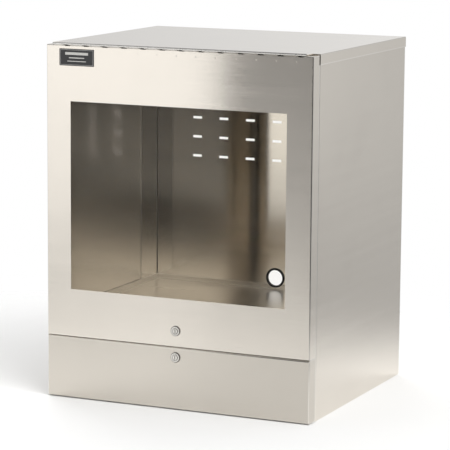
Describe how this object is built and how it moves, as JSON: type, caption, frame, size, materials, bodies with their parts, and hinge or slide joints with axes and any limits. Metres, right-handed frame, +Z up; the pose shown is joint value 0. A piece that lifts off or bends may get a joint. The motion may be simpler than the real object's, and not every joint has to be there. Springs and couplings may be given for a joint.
{
  "type": "uv sterilizer cabinet",
  "caption": "Free-standing stainless sheet cabinet with a flip-up windowed door, an ultraviolet lamp chamber with rear vent slots and cable grommet, and a locking drawer below.",
  "frame": {"origin": "centre of the base, on the surface the cabinet stands on", "axes": "+Z up, +Y from the door to the back, +X to the right of someone facing the door"},
  "size_m": [0.7014, 0.6155, 0.8772],
  "materials": {
    "sheet": "brushed",
    "zinc": "zinc plated",
    "hinge": "satin",
    "chrome": "polished",
    "pane": "clear",
    "rubber": "matte",
    "plate": "black with a plain border",
    "white": "satin",
    "reflector": "polished",
    "tube": "clear quartz",
    "cap": "satin",
    "holder": "white",
    "black_plastic": "black"
  },
  "bodies": {
    "cabinet": {"left_side_panel": "sheet", "right_side_panel": "sheet", "back_panel": "sheet", "top_cover": "sheet", "base_pan": "sheet", "chamber_floor": "sheet", "cross_rail": "sheet", "header_rail": "sheet", "door_strike": "zinc", "strike_screws": "zinc", "hinge_body_leaf": "hinge", "hinge_pin": "hinge", "door_seal": "rubber", "cable_grommet": "rubber", "lamp_channel": "white", "fixture_studs": "zinc", "fixture_nuts": "zinc", "lamp_reflector": "reflector", "reflector_screws": "zinc", "lamp_holders": "holder", "uv_lamp_tubes": "tube", "uv_lamp_caps": "cap", "lamp_ballast": "white", "terminal_block": "holder", "door_switch": "black_plastic", "left_slide_bracket": "zinc", "right_slide_bracket": "zinc", "left_slide_outer": "zinc", "right_slide_outer": "zinc", "bracket_screws": "zinc"},
    "door": {"door_panel": "sheet", "window_gasket": "rubber", "window_pane": "pane", "window_retainer": "sheet", "retainer_studs": "zinc", "retainer_nuts": "zinc", "hinge_door_leaf": "hinge", "nameplate": "plate", "door_lock_barrel": "chrome", "door_lock_nut": "zinc", "door_magnet": "black_plastic"},
    "door_cam": {"door_lock_plug": "chrome", "door_lock_cam": "zinc", "door_lock_screw": "zinc"},
    "drawer": {"drawer_front": "sheet", "drawer_box": "sheet", "drawer_studs": "zinc", "drawer_nuts": "zinc", "drawer_lock_barrel": "chrome", "drawer_lock_nut": "zinc", "left_slide_inner": "zinc", "right_slide_inner": "zinc", "drawer_slide_screws": "zinc"},
    "drawer_cam": {"drawer_lock_plug": "chrome", "drawer_lock_cam": "zinc", "drawer_lock_screw": "zinc"},
    "left_middle": {"left_slide_middle": "zinc"},
    "right_middle": {"right_slide_middle": "zinc"}
  },
  "joints": [
    {"name": "door_hinge", "type": "hinge", "parent": "cabinet", "child": "door", "pos_m": [0, -0.30495, 0.87435], "axis": [-1, 0, 0], "range_deg": [0, 265]},
    {"name": "door_lock_turn", "type": "hinge", "parent": "door", "child": "door_cam", "pos_m": [0, -0.3048, 0.195], "axis": [0, 1, 0], "range_deg": [0, 90]},
    {"name": "drawer_slide", "type": "slide", "parent": "cabinet", "child": "drawer", "axis": [0, -1, 0], "range_m": [0, 0.45]},
    {"name": "drawer_lock_turn", "type": "hinge", "parent": "drawer", "child": "drawer_cam", "pos_m": [0, -0.3048, 0.13], "axis": [0, -1, 0], "range_deg": [0, 90]},
    {"name": "left_middle_slide", "type": "slide", "parent": "cabinet", "child": "left_middle", "axis": [0, -1, 0], "range_m": [0, 0.225]},
    {"name": "right_middle_slide", "type": "slide", "parent": "cabinet", "child": "right_middle", "axis": [0, -1, 0], "range_m": [0, 0.225]}
  ],
  "couplings": [
    {"joint": "left_middle_slide", "follows": "drawer_slide", "ratio": 0.5},
    {"joint": "right_middle_slide", "follows": "drawer_slide", "ratio": 0.5}
  ]
}
